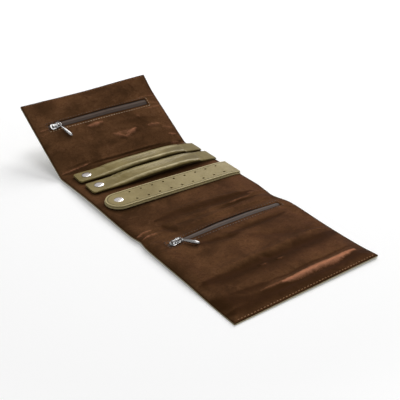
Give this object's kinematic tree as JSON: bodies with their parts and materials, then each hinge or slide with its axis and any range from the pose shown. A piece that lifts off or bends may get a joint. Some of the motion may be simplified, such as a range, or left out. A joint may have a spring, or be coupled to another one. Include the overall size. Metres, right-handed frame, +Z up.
{
  "type": "jewelry folder",
  "caption": "Tri-fold leather jewelry folder with a satin lining, zip pockets in both flaps, padded ring bars and a pierced earring strap that open at snaps.",
  "frame": {"origin": "centre of the middle panel's underside, on the surface that the folder lies on", "axes": "+X along the creases, from the snaps to the sewn strap ends; +Y to the far flap; +Z up from the leather to the lining"},
  "size_m": [0.17, 0.4156, 0.0621],
  "materials": {
    "olive_leather": "smooth grained leather",
    "khaki_leather": "soft satin leather",
    "brown_lining": "satin with a copper sheen",
    "padding": "soft wadding",
    "zip_tape": "woven tape",
    "zip_coil": "nylon coil",
    "nickel": "polished nickel"
  },
  "bodies": {
    "middle_panel": {"middle_outer_leather": "olive_leather", "middle_padding": "padding", "middle_lining": "brown_lining", "ring_bar_1_snap_stud": "nickel", "ring_bar_1_snap_eyelet": "nickel", "ring_bar_2_snap_stud": "nickel", "ring_bar_2_snap_eyelet": "nickel", "earring_strap_snap_stud": "nickel", "earring_strap_snap_eyelet": "nickel", "ring_bar_1_sewn_end": "khaki_leather", "ring_bar_2_sewn_end": "khaki_leather", "earring_strap_sewn_end": "khaki_leather"},
    "far_spine": {"far_spine_outer_leather": "olive_leather", "far_spine_lining": "brown_lining"},
    "far_flap": {"far_outer_leather": "olive_leather", "far_padding": "padding", "far_pocket_back": "brown_lining", "far_pocket_lining": "brown_lining", "far_zip_upper_tape": "zip_tape", "far_zip_upper_coil": "zip_coil", "far_zip_lower_tape": "zip_tape", "far_zip_lower_coil": "zip_coil", "far_zip_top_stop": "nickel", "far_zip_bottom_stop": "nickel"},
    "far_slider": {"far_zip_slider": "nickel"},
    "far_link": {"far_zip_pull_link": "nickel"},
    "far_pull": {"far_zip_pull": "nickel"},
    "near_spine": {"near_spine_outer_leather": "olive_leather", "near_spine_lining": "brown_lining"},
    "near_flap": {"near_outer_leather": "olive_leather", "near_padding": "padding", "near_pocket_back": "brown_lining", "near_pocket_lining": "brown_lining", "near_zip_upper_tape": "zip_tape", "near_zip_upper_coil": "zip_coil", "near_zip_lower_tape": "zip_tape", "near_zip_lower_coil": "zip_coil", "near_zip_top_stop": "nickel", "near_zip_bottom_stop": "nickel"},
    "near_slider": {"near_zip_slider": "nickel"},
    "near_link": {"near_zip_pull_link": "nickel"},
    "near_pull": {"near_zip_pull": "nickel"},
    "ring_bar_1": {"ring_bar_1_cover": "khaki_leather", "ring_bar_1_core": "padding", "ring_bar_1_snap_socket": "nickel", "ring_bar_1_snap_cap": "nickel"},
    "ring_bar_2": {"ring_bar_2_cover": "khaki_leather", "ring_bar_2_core": "padding", "ring_bar_2_snap_socket": "nickel", "ring_bar_2_snap_cap": "nickel"},
    "earring_strap": {"earring_strap_backing": "khaki_leather", "earring_strap_top": "khaki_leather", "earring_strap_snap_socket": "nickel", "earring_strap_snap_cap": "nickel"}
  },
  "joints": [
    {"name": "far_spine_fold", "type": "hinge", "parent": "middle_panel", "child": "far_spine", "pos_m": [0, 0.08, 0.0043], "axis": [1, 0, 0], "range_deg": [-32, 58]},
    {"name": "far_flap_fold", "type": "hinge", "parent": "far_spine", "child": "far_flap", "pos_m": [0, 0.10205, 0.01808], "axis": [1, 0, 0], "range_deg": [0, 90]},
    {"name": "near_spine_fold", "type": "hinge", "parent": "middle_panel", "child": "near_spine", "pos_m": [0, -0.08, 0.0043], "axis": [-1, 0, 0], "range_deg": [0, 90]},
    {"name": "near_flap_fold", "type": "hinge", "parent": "near_spine", "child": "near_flap", "pos_m": [0, -0.096, 0.0043], "axis": [-1, 0, 0], "range_deg": [0, 90]},
    {"name": "far_zip_slide", "type": "slide", "parent": "far_flap", "child": "far_slider", "axis": [1, 0, 0], "range_m": [0, 0.118]},
    {"name": "far_link_turn", "type": "hinge", "parent": "far_slider", "child": "far_link", "pos_m": [-0.0553, 0.13745, 0.04256], "axis": [0, -0.5299, 0.848], "range_deg": [-40, 45]},
    {"name": "far_pull_lift", "type": "hinge", "parent": "far_link", "child": "far_pull", "pos_m": [-0.05403, 0.13478, 0.04089], "axis": [0.9272, 0.3177, 0.1985], "range_deg": [-90, 0]},
    {"name": "near_zip_slide", "type": "slide", "parent": "near_flap", "child": "near_slider", "axis": [1, 0, 0], "range_m": [0, 0.122]},
    {"name": "near_link_turn", "type": "hinge", "parent": "near_slider", "child": "near_link", "pos_m": [-0.0528, -0.11, 0.0063], "axis": [0, 0, 1], "range_deg": [-50, 30]},
    {"name": "near_pull_lift", "type": "hinge", "parent": "near_link", "child": "near_pull", "pos_m": [-0.05085, -0.11278, 0.0063], "axis": [0.8192, 0.5736, 0], "range_deg": [-90, 0]},
    {"name": "ring_bar_1_lift", "type": "hinge", "parent": "middle_panel", "child": "ring_bar_1", "pos_m": [0.079, 0.0575, 0.0072], "axis": [-0.0349, -0.9994, 0], "range_deg": [-110, 0]},
    {"name": "ring_bar_2_lift", "type": "hinge", "parent": "middle_panel", "child": "ring_bar_2", "pos_m": [0.079, 0.028, 0.0072], "axis": [-0.0349, -0.9994, 0], "range_deg": [-110, 0]},
    {"name": "earring_strap_lift", "type": "hinge", "parent": "middle_panel", "child": "earring_strap", "pos_m": [0.079, -0.0145, 0.0069], "axis": [-0.0349, -0.9994, 0], "range_deg": [-110, 0]}
  ]
}
